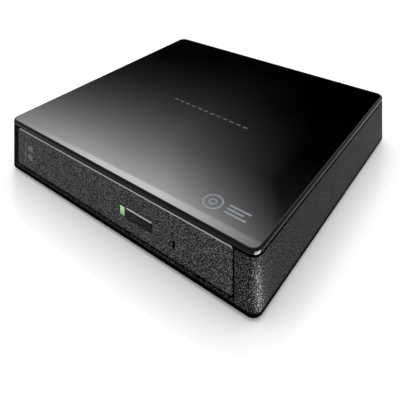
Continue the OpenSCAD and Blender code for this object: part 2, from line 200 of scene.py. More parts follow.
# What mirrors see. Places are on the lid, in millimetres.
PANEL_LIGHT = 0.30
PANEL_FRONT_Y = -62.0                 # behind this line the panel fades
PANEL_FADE_DEPTH = 23.5
PANEL_RIGHT_X = (25.0, 82.0)          # over this span the panel fades to the right
PANEL_RIGHT_LEVEL = 0.07
PANEL_LEAN = 0.75                     # how fast that fade moves left with depth
PANEL_LEAN_MOST = 22.5
PANEL_LEFT_X = (-72.0, -25.0)
PANEL_LEFT_LEVEL = 0.72
STRIP_LIGHT = 0.53                    # the bright strip along the front edge
STRIP_EDGE_X = (-72.0, 40.0)
STRIP_EDGE_Y = (-65.2, -63.6)
STRIP_SOFT = (-0.4, 0.8)
STRIP_LEFT_X = (-72.0, -10.0)
STRIP_LEFT_LEVEL = 0.42
STRIP_RIGHT_X = (25.0, 70.0)
STRIP_RIGHT_LEVEL = 0.3
FAR_LIGHT = 1.1                       # beyond the panel
FAR_X = (76.0, 84.0)
FAR_Y = (72.0, 80.0)
MIRROR_MOST = 9.0
LID_OWN_LIGHT = 0.004                 # what the lid shows without a mirror image
LID_FACING = 0.05                     # the lid's reflectance seen squarely, and its rise towards the edge
LID_GRAZING = 1.22
LOWEST_RAY = 0.02


# ---- Mesh helpers ----

def arc(centre, r, start_deg, steps=CORNER_STEPS):
    """(point, outward normal) pairs round a quarter turn, in the XY plane."""
    pairs = []
    for k in range(steps + 1):
        a = math.radians(start_deg + 90 * k / steps)
        normal = Vector((math.cos(a), math.sin(a)))
        pairs.append((Vector(centre) + r * normal, normal))
    return pairs


def case_corner(side_x, side_y, start_deg):
    return arc((side_x * (HALF_W - CORNER_R), side_y * (HALF_D - CORNER_R)), CORNER_R, start_deg)


def case_outline():
    """The case's plan, counter-clockwise from the column's left edge round to the front left corner."""
    start = [(Vector((COLUMN_X, FRONT)), Vector((0, -1)))]
    corners = case_corner(1, -1, -90) + case_corner(1, 1, 0) + case_corner(-1, 1, 90)
    return start + corners + case_corner(-1, -1, 180)


def ring(bm, pairs, inset, z):
    """Vertices at height z along (point, outward normal) pairs, drawn in by inset."""
    verts = []
    for point, normal in pairs:
        p = point - inset * normal
        verts.append(bm.verts.new((p.x, p.y, z)))
    return verts


def bridge(bm, lower, upper, closed=True):
    n = len(lower)
    for i in range(n if closed else n - 1):
        j = (i + 1) % n
        bm.faces.new((lower[i], lower[j], upper[j], upper[i]))


def bridge_all(bm, rings, closed=True):
    for lower, upper in zip(rings, rings[1:]):
        bridge(bm, lower, upper, closed)


def quarter_round(r, steps):
    """(inset, setback) pairs round a quarter circle, from a flat's rim (inset r) out to a wall (inset 0)."""
    turn = [math.radians(90 * k / steps) for k in range(steps + 1)]
    return [(r * (1 - math.sin(a)), r * (1 - math.cos(a))) for a in turn]


def soft_edge(size, z, side):
    """Three (inset, height) pairs round an edge, from a flat at z to the wall above (side 1) or below it."""
    return [(size, z), (size * EDGE_BULGE, z + side * size * EDGE_BULGE), (0, z + side * size)]


def without_repeats(items):
    return [item for i, item in enumerate(items) if item not in items[:i]]


def shade(mesh, smooth_deg):
    """Smooth shading between small faces; a wide flat face keeps its own normal."""
    mesh.set_sharp_from_angle(angle=math.radians(smooth_deg))
    for polygon in mesh.polygons:
        polygon.use_smooth = len(polygon.vertices) < 5


def object_from(bm, name):
    mesh = bpy.data.meshes.new(name)
    bm.to_mesh(mesh)
    bm.free()
    made = bpy.data.objects.new(name, mesh)
    bpy.context.scene.collection.objects.link(made)
    return made


def piece_from(bm, name, material, body, smooth_deg=35):
    """A finished piece of the drive: shaded, given its material and set riding on its body."""
    bmesh.ops.recalc_face_normals(bm, faces=bm.faces)
    piece = object_from(bm, name)
    shade(piece.data, smooth_deg)
    piece.data.materials.append(material)
    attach(piece, body)
    return piece


def add_box(bm, low, high, edge_r=0.0):
    """A box between two corners, with edges rounded to the optional radius."""
    made = bmesh.ops.create_cube(bm, size=1)
    size = Vector(high) - Vector(low)
    centre = (Vector(high) + Vector(low)) / 2
    for v in made["verts"]:
        v.co = Vector((v.co.x * size.x, v.co.y * size.y, v.co.z * size.z)) + centre
    if edge_r:
        edges = without_repeats([e for v in made["verts"] for e in v.link_edges])
        bmesh.ops.bevel(bm, geom=edges, offset=edge_r, segments=3, affect="EDGES", profile=0.5)


def circle(bm, at, r, z, steps):
    turn = [2 * math.pi * k / steps for k in range(steps)]
    return [bm.verts.new((at[0] + r * math.cos(a), at[1] + r * math.sin(a), z)) for a in turn]


def add_post(bm, at, r, z0, z1):
    """A round post between two heights, its ends closed by fans."""
    rings = [circle(bm, at, r, z, POST_STEPS) for z in (z0, z1)]
    bridge(bm, *rings)
    for verts, z in zip(rings, (z0, z1)):
        tip = bm.verts.new((at[0], at[1], z))
        for i, v in enumerate(verts):
            bm.faces.new((tip, v, verts[(i + 1) % POST_STEPS]))


def add_tube(bm, at, outer, inner, z0, z1):
    """A flat ring with a square section."""
    section = ((outer, z0), (outer, z1), (inner, z1), (inner, z0))
    rings = [circle(bm, at, r, z, TUBE_STEPS) for r, z in section]
    bridge_all(bm, rings + rings[:1])


def cut(piece, cutter_bm, smooth_deg=35):
    """Takes the cutter's solids out of the piece."""
    bmesh.ops.recalc_face_normals(cutter_bm, faces=cutter_bm.faces)
    cutter = object_from(cutter_bm, "cutter")
    modifier = piece.modifiers.new("cut", "BOOLEAN")
    modifier.operation = "DIFFERENCE"
    modifier.solver = "EXACT"
    modifier.object = cutter
    evaluated = piece.evaluated_get(bpy.context.evaluated_depsgraph_get())
    mesh = bpy.data.meshes.new_from_object(evaluated)
    piece.modifiers.remove(modifier)
    piece.data = mesh
    shade(mesh, smooth_deg)
    bpy.data.objects.remove(cutter)


# ---- Material helpers ----

NOISE_SPAN = (0.3, 0.7)               # where nearly all of a noise's values lie


class Graph:
    """A node tree with short calls for the nodes used here."""

    def __init__(self, tree):
        self.tree = tree

    def add(self, kind, **inputs):
        made = self.tree.nodes.new(kind)
        for key, value in inputs.items():
            self.feed(made.inputs[key.replace("_", " ")], value)
        return made

    def feed(self, socket, value):
        if isinstance(value, bpy.types.NodeSocket):
            self.tree.links.new(value, socket)
        else:
            socket.default_value = value

    def feed_all(self, made, values):
        for socket, value in zip(made.inputs, values):
            self.feed(socket, value)
        return made

    def calc(self, operation, *values):
        made = self.add("ShaderNodeMath")
        made.operation = operation
        return self.feed_all(made, values).outputs[0]

    def product(self, first, *others):
        for other in others:
            first = self.calc("MULTIPLY", first, other)
        return first

    def inverse(self, value):
        return self.calc("SUBTRACT", 1.0, value)

    def remap(self, value, low, high, to_low, to_high):
        made = self.add("ShaderNodeMapRange")
        return self.feed_all(made, (value, low, high, to_low, to_high)).outputs[0]

    def split(self, vector):
        return self.add("ShaderNodeSeparateXYZ", Vector=vector).outputs


class Material(Graph):
    """A material's nodes, built round its principled surface."""

    def __init__(self, name):
        self.material = bpy.data.materials.new(name)
        self.material.use_nodes = True
        super().__init__(self.material.node_tree)
        self.surface = self.tree.nodes["Principled BSDF"]
        self.place = self.add("ShaderNodeTexCoord").outputs["Object"]

    def set(self, **inputs):
        for key, value in inputs.items():
            self.feed(self.surface.inputs[key.replace("_", " ")], value)

    def xyz(self):
        return self.split(self.place)

    def normal(self, kind):
        return self.split(self.add("ShaderNodeNewGeometry").outputs[kind])

    def stretched(self, x, y, z):
        return self.add("ShaderNodeMapping", Vector=self.place, Scale=(x, y, z)).outputs["Vector"]

    def noise(self, size, detail=3.0, vector=None):
        made = self.add("ShaderNodeTexNoise", Vector=vector or self.place, Scale=1 / size,
                        Detail=detail, Roughness=0.55)
        return made.outputs["Fac"]

    def vary(self, size, low, high):
        """A value that wanders between low and high over patches of about the given size."""
        return self.remap(self.noise(size), *NOISE_SPAN, low, high)

    def cells(self, size, feature="F1"):
        made = self.add("ShaderNodeTexVoronoi", Vector=self.place, Scale=1 / size)
        made.feature = feature
        return made.outputs["Distance"]

    def mix(self, factor, a, b):
        """A colour between a and b; each is a socket or an (r, g, b)."""
        made = self.add("ShaderNodeMix")
        made.data_type = "RGBA"
        self.feed(made.inputs["Factor"], factor)
        colours = {"A": a, "B": b}
        for socket in made.inputs:
            if socket.type == "RGBA":
                colour = colours[socket.name]
                is_socket = isinstance(colour, bpy.types.NodeSocket)
                self.feed(socket, colour if is_socket else (*colour, 1))
        return [s for s in made.outputs if s.type == "RGBA"][0]

    def bump(self, height, depth, strength=1.0):
        made = self.add("ShaderNodeBump", Height=height, Distance=depth, Strength=strength)
        self.set(Normal=made.outputs["Normal"])

    def show_mix(self, factor, first, second):
        """Shows a mix of two shaders in place of the principled surface."""
        self.tree.nodes.remove(self.surface)
        mixed = self.feed_all(self.add("ShaderNodeMixShader"), (factor, first, second))
        self.feed(self.tree.nodes["Material Output"].inputs["Surface"], mixed.outputs[0])


def scaled(colour, factor):
    return [c * factor for c in colour]


# ---- Materials ----

TONE_EDGE = 0.2 * MM                  # half the width over which a painted-in tone changes
LID_SHINE = 0.5
LID_SIDE_SHINE = 0.07
LID_FLAT_SPAN = (0.93, 0.995)         # the upward part of the normal, from the edge's curve to the flat top
LID_LEFT_X = (0.7 * MM - HALF_W, 1.5 * MM - HALF_W)
LID_LEFT_SHARE = 0.1                  # what is left of the shine at the left edge
LID_REAR_SPAN = (0.02, 0.12)
SPECKLE_SPAN = (0.47, 0.68)
SPECKLE_SHINE = (0.35, 2.2)           # how shiny the grain is between and on its speckles
# Painted highlight on grained front edges that face up or left
HIGHLIGHT_TURN_SPAN = (0.2, 0.6)              # how far an edge has to turn up or left to get the painted highlight
HIGHLIGHT_LEFT_WEIGHT = 1.2
HIGHLIGHT_Y = (FRONT + 0.25 * MM, FRONT + 0.6 * MM)
RECESS_TONE = 0.05                    # how bright the painted shade leaves the insides of gaps and grooves
FOOT_TONE = 0.04
BEZEL_RECESS_Y = (FRONT + 0.5 * MM, FRONT + 0.9 * MM)
CASE_FOOT_Z = (CASE_BOTTOM + 2.3 * MM, CASE_BOTTOM + 2.7 * MM)
CASE_GROOVE_Z = (GROOVE_Z - 0.1 * MM, GROOVE_Z)
CASE_STRIP_Y = (FRONT + 0.8 * MM, FRONT + 1.2 * MM)
CASE_STRIP_SHADE = 0.5
CASE_CORNER_X = (CORNER_R - HALF_W - 0.5 * MM, CORNER_R - HALF_W)
CASE_CORNER_Y = (FRONT + CORNER_R, FRONT + 2 * CORNER_R)
CASE_CORNER_SHADE = 0.9


def painted_edge_highlight(m, above_z, left_x):
    """A 0..1 factor of painted highlight for front edges that face up or left and lie above above_z or left
    of left_x.
    """
    face = m.normal("True Normal")
    turned = m.calc("MAXIMUM", face["Z"], m.product(face["X"], -HIGHLIGHT_LEFT_WEIGHT))
    upper = m.remap(turned, *HIGHLIGHT_TURN_SPAN, 0, 1)
    at = m.xyz()
    near_front = m.remap(at["Y"], *HIGHLIGHT_Y, 1, 0)
    high_up = m.remap(at["Z"], above_z - TONE_EDGE, above_z + TONE_EDGE, 0, 1)
    far_left = m.remap(at["X"], left_x - TONE_EDGE, left_x + TONE_EDGE, 1, 0)
    return m.product(upper, near_front, m.calc("MAXIMUM", high_up, far_left))


def grained_plastic(name, dark, light, roughness, grain, depth, specular, edge_highlight_colour=None, highlight_above=0,
                    highlight_left=-HALF_W, shadow=None):
    """Moulded black plastic with a spark-eroded grain, its light speckles painted glints on the grain.

    Its front edges that face up or left get a painted highlight in the optional highlight colour. The
    optional shadow builds a 0..1 factor of painted shade that darkens recesses.
    """
    m = Material(name)
    height = m.calc("ADD", m.cells(grain, "SMOOTH_F1"), m.noise(grain * 0.6, 4))
    # light speckles in the colour are painted glints on the grain; the grain itself is the bump
    glint_speckle = m.remap(m.noise(grain, 1), *SPECKLE_SPAN, 0, 1)
    glint_speckle = m.product(glint_speckle, glint_speckle)
    colour = m.mix(glint_speckle, dark, light)
    shine = m.product(m.remap(glint_speckle, 0, 1, *SPECKLE_SHINE), specular)
    # painted highlight along the front edges that face up or left
    if edge_highlight_colour:
        colour = m.mix(painted_edge_highlight(m, highlight_above, highlight_left), colour, edge_highlight_colour)
    if shadow:
        lit = shadow(m)
        colour = m.mix(lit, (0, 0, 0), colour)
        shine = m.product(lit, shine)
    m.set(Base_Color=colour)
    m.set(Roughness=m.vary(9 * MM, roughness - 0.05, roughness + 0.05))
    m.set(Specular_IOR_Level=shine)
    m.bump(height, depth)
    return m.material


def bezel_shadow(m):
    """Painted shade on the insides of the bezel's holes and gaps."""
    return m.remap(m.xyz()["Y"], *BEZEL_RECESS_Y, 1, RECESS_TONE)


def case_shadow(m):
    """Painted shade on the lower bevel, front strip, groove under the lid and front left corner of the lower
    case.
    """
    at = m.xyz()
    foot = m.remap(at["Z"], *CASE_FOOT_Z, FOOT_TONE, 1)
    groove = m.remap(at["Z"], *CASE_GROOVE_Z, 1, RECESS_TONE)
    in_front = m.remap(at["Y"], *CASE_STRIP_Y, 1, 0)
    left_of_column = m.remap(at["X"], COLUMN_X - TONE_EDGE, COLUMN_X, 1, 0)
    strip = m.product(in_front, left_of_column, CASE_STRIP_SHADE)
    left_end = m.remap(at["X"], *CASE_CORNER_X, 1, 0)
    front_end = m.remap(at["Y"], *CASE_CORNER_Y, CASE_CORNER_SHADE, 0)
    corner = m.product(left_end, front_end)
    return m.product(foot, groove, m.inverse(corner), m.inverse(strip))


def satin_plastic(name, colour, roughness, specular=0.5):
    m = Material(name)
    m.set(Base_Color=m.mix(m.vary(14 * MM, 0, 1), scaled(colour, 0.85), scaled(colour, 1.12)))
    m.set(Roughness=m.vary(3 * MM, roughness - 0.06, roughness + 0.06))
    m.set(Specular_IOR_Level=specular)
    m.bump(m.noise(0.25 * MM, 3), 0.01 * MM, 0.6)
    return m.material


def lid_gloss():
    """Piano-black lid: a hard, clear reflection over near-black plastic, dull at its sides and rear."""
    m = Material("lid_gloss")
    m.set(Base_Color=m.mix(m.vary(30 * MM, 0, 1), (0.0015, 0.0015, 0.0018), (0.0025, 0.0025, 0.003)))
    m.set(Roughness=m.vary(6 * MM, 0.02, 0.035))
    m.set(IOR=1.5)
    face = m.normal("Normal")
    shine = m.remap(face["Z"], *LID_FLAT_SPAN, LID_SIDE_SHINE, LID_SHINE)
    off_left = m.remap(m.xyz()["X"], *LID_LEFT_X, LID_LEFT_SHARE, 1)
    rearward = m.calc("MAXIMUM", m.product(face["X"], -1.0), face["Y"])
    not_rear = m.remap(rearward, *LID_REAR_SPAN, 1.0, 0.0)
    m.set(Specular_IOR_Level=m.product(shine, off_left, not_rear))
    m.bump(m.noise(5 * MM, 1), 0.002 * MM, 0.3)
    return m.material


def sheet_metal(name, colour, roughness, brush=(1, 1, 1), spangle=6 * MM):
    """Zinc-plated sheet with faint spangle, rolling lines and a few soft stains."""
    m = Material(name)
    lines = m.noise(0.4 * MM, 2, m.stretched(*brush))
    spangles = m.product(m.cells(spangle), 0.35)
    tone = m.remap(m.calc("ADD", m.noise(18 * MM), spangles), 0.35, 0.95, 0, 1)
    m.set(Base_Color=m.mix(tone, scaled(colour, 0.82), colour))
    m.set(Metallic=1.0)
    wear = m.calc("ADD", lines, m.noise(7 * MM))
    m.set(Roughness=m.remap(wear, 0.6, 1.4, roughness - 0.08, roughness + 0.1))
    m.bump(lines, 0.01 * MM, 0.35)
    return m.material


def circuit_board(name, chip_below=None):
    """Green solder resist over copper tracks; whatever lies below the given height is black chip plastic."""
    m = Material(name)
    brick = m.add("ShaderNodeTexBrick", Vector=m.place, Scale=260.0, Mortar_Size=0.05)
    tracks = m.remap(m.cells(2.2 * MM, "DISTANCE_TO_EDGE"), 0.02, 0.1, 1, 0)
    pads = m.remap(m.cells(3.1 * MM), 0.12, 0.16, 1, 0)
    green = m.mix(m.product(tracks, 0.6), (0.012, 0.10, 0.035), (0.03, 0.20, 0.07))
    green = m.mix(m.product(brick.outputs["Fac"], 0.25), green, (0.02, 0.15, 0.05))
    colour = m.mix(pads, green, (0.62, 0.55, 0.36))
    if chip_below:
        chip = m.calc("LESS_THAN", m.xyz()["Z"], chip_below)
        colour = m.mix(chip, colour, (0.02, 0.02, 0.022))
    m.set(Base_Color=colour)
    m.set(Roughness=m.vary(4 * MM, 0.28, 0.45))
    m.bump(m.calc("ADD", tracks, pads), 0.03 * MM, 0.5)
    return m.material


def rubber(name, colour, roughness, pore, depth):
    m = Material(name)
    m.set(Base_Color=m.mix(m.vary(pore * 5, 0, 1), scaled(colour, 0.8), scaled(colour, 1.2)))
    m.set(Roughness=roughness)
    m.set(Specular_IOR_Level=0.3)
    m.bump(m.cells(pore, "SMOOTH_F1"), depth)
    return m.material


def waves(m, pitch):
    """Lines across x, one to each pitch."""
    return m.calc("SINE", m.product(m.xyz()["X"], 2 * math.pi / pitch))


def flex_film():
    """Amber film with parallel copper tracks showing through."""
    m = Material("flex_film")
    tracks = m.remap(waves(m, 0.9 * MM), -0.2, 0.3, 0, 1)
    m.set(Base_Color=m.mix(tracks, (0.62, 0.36, 0.10), (0.40, 0.19, 0.05)))
    m.set(Roughness=m.vary(5 * MM, 0.22, 0.34))
    m.bump(tracks, 0.02 * MM, 0.5)
    return m.material


def copper_coil():
    """Enamelled wire wound round the latch magnet's core."""
    m = Material("copper_coil")
    turns = waves(m, 0.35 * MM)
    m.set(Base_Color=m.mix(m.remap(turns, -1, 1, 0, 1), (0.30, 0.12, 0.04), (0.72, 0.36, 0.14)))
    m.set(Metallic=0.9)
    m.set(Roughness=m.vary(2 * MM, 0.25, 0.4))
    m.bump(turns, 0.05 * MM, 0.7)
    return m.material


def lens_glass():
    m = Material("lens_glass")
    m.set(Base_Color=m.mix(m.vary(2 * MM, 0, 1), (0.10, 0.13, 0.35), (0.22, 0.20, 0.55)))
    m.set(Roughness=0.06)
    m.set(Coat_Weight=1.0)
    m.set(Coat_Roughness=0.03)
    m.bump(m.noise(1 * MM, 1), 0.002 * MM, 0.3)
    return m.material


def lit_led():
    """Clear green window, lit from behind and brighter towards its top."""
    m = Material("led_plastic")
    glow = m.remap(m.xyz()["Z"], CONTROL_Z - 1.9 * MM, CONTROL_Z + 0.6 * MM, 0, 1)
    m.set(Base_Color=(0.05, 0.10, 0.04, 1))
    m.set(Roughness=0.3)
    m.set(Emission_Color=m.mix(glow, (0.06, 0.22, 0.05), (0.26, 0.52, 0.22)))
    m.set(Emission_Strength=m.vary(0.6 * MM, 0.85, 1.1))
    m.bump(m.noise(0.5 * MM, 2), 0.01 * MM, 0.4)
    return m.material


# by the record's slots
materials = {
    # the light colours of the grained plastics are painted glints on their grain
    "case_plastic": grained_plastic(
        "case_plastic", dark=(0.003, 0.003, 0.0033), light=(0.14, 0.14, 0.144), roughness=0.42,
        grain=0.4 * MM, depth=0.1 * MM, specular=0.03, shadow=case_shadow),
    # the bezel's upper and left front edges carry a painted highlight
    "bezel_plastic": grained_plastic(
        "bezel_plastic", dark=(0.003, 0.003, 0.0033), light=(0.19, 0.19, 0.194), roughness=0.42,
        grain=0.34 * MM, depth=0.15 * MM, specular=0.07, edge_highlight_colour=(0.36, 0.36, 0.36),
        highlight_above=bezel_high.z - 1 * MM, highlight_left=bezel_low.x + 1 * MM, shadow=bezel_shadow),
    # the button's upper front edge carries a painted highlight
    "button_plastic": grained_plastic(
        "button_plastic", dark=(0.002, 0.002, 0.002), light=(0.03, 0.03, 0.032), roughness=0.4,
        grain=0.45 * MM, depth=0.08 * MM, specular=0.08, edge_highlight_colour=(0.5, 0.5, 0.5),
        highlight_above=button_high.z - 0.6 * MM),
    "lid_gloss": lid_gloss(),
    "led_plastic": lit_led(),
    "tray_plastic": satin_plastic("tray_plastic", (0.018, 0.018, 0.02), roughness=0.45, specular=0.4),
    "guide_plastic": satin_plastic("guide_plastic", (0.02, 0.02, 0.021), roughness=0.38),
    "connector_plastic": satin_plastic("connector_plastic", (0.015, 0.015, 0.016), roughness=0.5),
    "claw_plastic": satin_plastic("claw_plastic", (0.72, 0.70, 0.64), roughness=0.4),
    "chip_plastic": satin_plastic("chip_plastic", (0.02, 0.02, 0.022), roughness=0.6, specular=0.4),
    "circuit_board": circuit_board("circuit_board"),
    "flex_film": flex_film(),
    "rubber": rubber("rubber", (0.022, 0.022, 0.022), roughness=0.75, pore=0.5 * MM, depth=0.03 * MM),
    "foam": rubber("foam", (0.06, 0.06, 0.065), roughness=0.95, pore=0.9 * MM, depth=0.3 * MM),
    "dark_screw": sheet_metal("dark_screw", (0.12, 0.12, 0.125), roughness=0.35),
    "bright_screw": sheet_metal("bright_screw", (0.62, 0.62, 0.64), roughness=0.28),
    "chassis_steel": sheet_metal("chassis_steel", (0.56, 0.57, 0.58), roughness=0.34, brush=(1, 0.06, 1)),
    "plated_steel": sheet_metal("plated_steel", (0.66, 0.67, 0.69), roughness=0.22, brush=(0.1, 1, 1)),
    "polished_rod": sheet_metal("polished_rod", (0.72, 0.72, 0.74), roughness=0.14, brush=(1, 1, 0.2)),
    "pickup_metal": sheet_metal("pickup_metal", (0.20, 0.21, 0.225), roughness=0.45, spangle=1.5 * MM),
    "copper_coil": copper_coil(),
    "lens_glass": lens_glass(),
}
tray_board_material = circuit_board("tray_board_populated", chip_below=board_high.z - 1.0 * MM)
ink = satin_plastic("ink", (0.16, 0.18, 0.21), roughness=0.5)
dim_ink = satin_plastic("dim_ink", (0.05, 0.065, 0.08), roughness=0.5)
faint_ink = satin_plastic("faint_ink", (0.035, 0.035, 0.037), roughness=0.5)

for row in frame["record"]["subparts"]:
    node = frame["nodes"][row["node"]]
    material = materials[row["material_slot"]]
    if row["node"] == "tray_board":
        material = tray_board_material
    if not node.material_slots:
        node.data.materials.append(material)
    for material_slot in node.material_slots:
        material_slot.material = material


# ---- The lid ----

def build_lid():
    """Glossy rounded cover with a hollow underside, screw bosses and clips."""
    outline = case_outline()
    outside = soft_edge(LID_LOWER_EDGE, LID_Z, 1)
    top_edge = quarter_round(LID_EDGE_R, LID_FILLET_STEPS)
    outside += [(inset, TOP_Z - drop) for inset, drop in reversed(top_edge)]
    bm = bmesh.new()
    rings = [ring(bm, outline, inset, z) for inset, z in outside]
    bridge_all(bm, rings)
    bm.faces.new(rings[-1])
    inner_low = ring(bm, outline, WALL, LID_Z)
    inner_high = ring(bm, outline, WALL, LID_UNDER_Z)
    bridge(bm, inner_low, inner_high)
    bm.faces.new(inner_high)
    bridge(bm, rings[0], inner_low)
    root_z = LID_UNDER_Z + LID_ROOT
    for at in CASE_SCREW_AT:
        add_post(bm, at, BOSS_R, lid_low.z, root_z)
    for x in (-CLIP_X, CLIP_X):
        for y in CLIP_Y:
            add_box(bm, (x - CLIP_HALF_T, y - CLIP_HALF_L, lid_low.z),
                    (x + CLIP_HALF_T, y + CLIP_HALF_L, root_z), CLIP_EDGE)
    lid = piece_from(bm, "glossy_lid", materials["lid_gloss"], "case", 30)
    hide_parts("top_cover")


build_lid()


# ---- The lower case ----

def case_holes():
    """Cutters for the socket's opening and the recesses for screws and feet."""
    holes = bmesh.new()
    add_box(holes, (SOCKET_X - SOCKET_HALF_W, HALF_D - WALL - 1 * MM, SOCKET_Z[0]),
            (SOCKET_X + SOCKET_HALF_W, HALF_D + 1 * MM, SOCKET_Z[1]), SOCKET_EDGE)
    recesses = ((CASE_SCREW_AT, CASE_SCREW_R, CASE_SCREW_DEPTH),
                (MOUNT_SCREW_AT, MOUNT_SCREW_R, MOUNT_SCREW_DEPTH),
                (FOOT_AT, FOOT_R, FOOT_DEPTH))
    for places, r, depth in recesses:
        for at in places:
            add_post(holes, at, r, 0, CASE_BOTTOM + depth)
    return holes


def build_lower_case():
    """Grained tub: full-height walls and column, and a low strip under the bezel."""
    outline = case_outline()
    bm = bmesh.new()
    low_rings = [ring(bm, outline, inset * MM, CASE_BOTTOM + up * MM) for inset, up in FOOT_BEVEL_MM]
    bridge_all(bm, low_rings)
    bm.faces.new(low_rings[0])
    base = low_rings[-1]
    floor_ring = ring(bm, outline, WALL, FLOOR_TOP_Z)
    bm.faces.new(floor_ring)

    wall = soft_edge(WALL_EDGE, GROOVE_Z, -1)[::-1]
    wall += [(GROOVE_DEPTH, GROOVE_Z), (GROOVE_DEPTH, PART_Z), (WALL, PART_Z)]
    wall_rings = [base] + [ring(bm, outline, inset, z) for inset, z in wall] + [floor_ring]
    bridge_all(bm, wall_rings, closed=False)

    strip = [(0, STRIP_Z - WALL_EDGE), (WALL_EDGE, STRIP_Z), (WALL, STRIP_Z)]
    strip_run = [outline[-1], outline[0]]
    strip_rings = [[base[-1], base[0]]] + [ring(bm, strip_run, inset, z) for inset, z in strip]
    strip_rings += [[floor_ring[-1], floor_ring[0]]]
    bridge_all(bm, strip_rings, closed=False)

    # end faces where the tall wall drops to the strip
    for wall_end, strip_end in ((0, -1), (-1, 0)):
        tall = [r[wall_end] for r in wall_rings]
        short = [r[strip_end] for r in strip_rings]
        bm.faces.new(without_repeats(tall + short[::-1]))

    # solid core of the front column
    core = [outline[0]] + case_corner(1, -1, -90)
    core += [(Vector((HALF_W, FRONT + COLUMN_DEPTH)), Vector((1, 0)))]
    core += [(Vector((COLUMN_X, FRONT + COLUMN_DEPTH)), Vector((0, 1)))]
    core_rings = [ring(bm, core, CORE_INSET, z) for z in (FLOOR_TOP_Z - 0.5 * MM, PART_Z - 1 * MM)]
    bridge(bm, *core_rings)
    bm.faces.new(core_rings[0])
    bm.faces.new(core_rings[1])

    tub = piece_from(bm, "lower_case", materials["case_plastic"], "case")
    cut(tub, case_holes())
    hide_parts("bottom_case")


build_lower_case()


# ---- The tray's bezel, button and light ----

def plate_ring(bm, inset, y):
    """A ring of points round the bezel's front, drawn in by inset, at depth y."""
    r = max(BEZEL_CORNER_R - inset, 0.15 * MM)
    x0, x1 = bezel_low.x + inset + r, bezel_high.x - BEZEL_END_GAP - inset - r
    z0, z1 = bezel_low.z + BEZEL_LOW_GAP + inset + r, bezel_high.z - inset - r
    verts = []
    for x, z, start in ((x1, z0, -90), (x1, z1, 0), (x0, z1, 90), (x0, z0, 180)):
        for point, _ in arc((x, z), r, start, PLATE_CORNER_STEPS):
            verts.append(bm.verts.new((point.x, y, point.y)))
    return verts


def pinhole_cutter():
    """A slot with round ends, through the bezel's front."""
    bm = bmesh.new()
    near, far = [], []
    for end, start_deg in ((1, 0), (-1, 180)):
        for k in range(PINHOLE_STEPS + 1):
            a = math.radians(start_deg + 180 * k / PINHOLE_STEPS)
            x = PINHOLE_X + PINHOLE_R * math.cos(a)
            z = PINHOLE_Z + PINHOLE_R * math.sin(a) + end * (PINHOLE_HALF_H - PINHOLE_R)
            near.append(bm.verts.new((x, FRONT - HOLE_BEFORE, z)))
            far.append(bm.verts.new((x, FRONT + HOLE_BEHIND, z)))
    bridge(bm, near, far)
    bm.faces.new(near)
    bm.faces.new(far)
    return bm


def control_cutter():
    """Openings for the button and the light, with a little play round each."""
    bm = bmesh.new()
    add_box(bm, (button_low.x - BUTTON_SIDE_PLAY, FRONT - HOLE_BEFORE, button_low.z - BUTTON_PLAY),
            (button_high.x + BUTTON_PLAY, FRONT + HOLE_BEHIND, button_high.z + BUTTON_PLAY))
    add_box(bm, (led_low.x - LED_PLAY, FRONT - HOLE_BEFORE, led_low.z - LED_PLAY),
            (led_high.x + LED_PLAY, FRONT + HOLE_BEHIND, led_high.z + LED_PLAY))
    return bm


def build_bezel():
    """Grained front plate with a rounded edge carrying a painted highlight, standing proud of a smaller
    hollow body.
    """
    back = bezel_high.y
    section = [(inset, FRONT + setback) for inset, setback in quarter_round(BEZEL_EDGE_R, FILLET_STEPS)]
    section += [(0, FRONT + BEZEL_PLATE_T), (BEZEL_BACK_INSET, FRONT + BEZEL_PLATE_T)]
    section += [(BEZEL_BACK_INSET, back)]
    section += [(BEZEL_HOLLOW_INSET, back), (BEZEL_HOLLOW_INSET, FRONT + BEZEL_FRONT_T)]
    bm = bmesh.new()
    rings = [plate_ring(bm, inset, y) for inset, y in section]
    bridge_all(bm, rings)
    bm.faces.new(rings[0])
    bm.faces.new(rings[-1])
    bezel = piece_from(bm, "bezel", materials["bezel_plastic"], "tray")
    cut(bezel, control_cutter())
    cut(bezel, pinhole_cutter())
    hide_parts("tray_bezel")


def build_button():
    """Push button: a flat cap with softened edges and a stem to the switch."""
    bm = bmesh.new()
    add_box(bm, (button_low.x, FRONT, button_low.z),
            (button_high.x, FRONT + BUTTON_T, button_high.z), BUTTON_EDGE)
    add_box(bm, (BUTTON_X - BUTTON_STEM_HALF_W, FRONT + BUTTON_STEM_FRONT, CONTROL_Z - BUTTON_STEM_HALF_H),
            (BUTTON_X + BUTTON_STEM_HALF_W, button_high.y, CONTROL_Z + BUTTON_STEM_HALF_H), STEM_EDGE)
    button = piece_from(bm, "button", materials["button_plastic"], "eject_button", 40)
    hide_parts("eject_button")


def build_light():
    """Clear window with the light pipe behind it."""
    bm = bmesh.new()
    add_box(bm, (led_low.x, FRONT - LED_PROUD, led_low.z),
            (led_high.x, FRONT + LED_T, led_high.z), LED_EDGE)
    add_box(bm, (LED_X - LED_PIPE_HALF_W, FRONT + LED_PIPE_FRONT, CONTROL_Z - LED_PIPE_HALF_H),
            (LED_X + LED_PIPE_HALF_W, led_high.y, CONTROL_Z + LED_PIPE_HALF_H), STEM_EDGE)
    light = piece_from(bm, "light_window", materials["led_plastic"], "tray", 40)
    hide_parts("led_lens")


build_bezel()
build_button()
build_light()


# ---- Plain printed marks, in place of any lettering ----

def add_print(bm, x_range, y_range, z_range):
    """A thin block of ink; the ranges are in millimetres."""
    low, high = [[limit * MM for limit in limits] for limits in zip(x_range, y_range, z_range)]
    add_box(bm, low, high, INK_EDGE * MM)


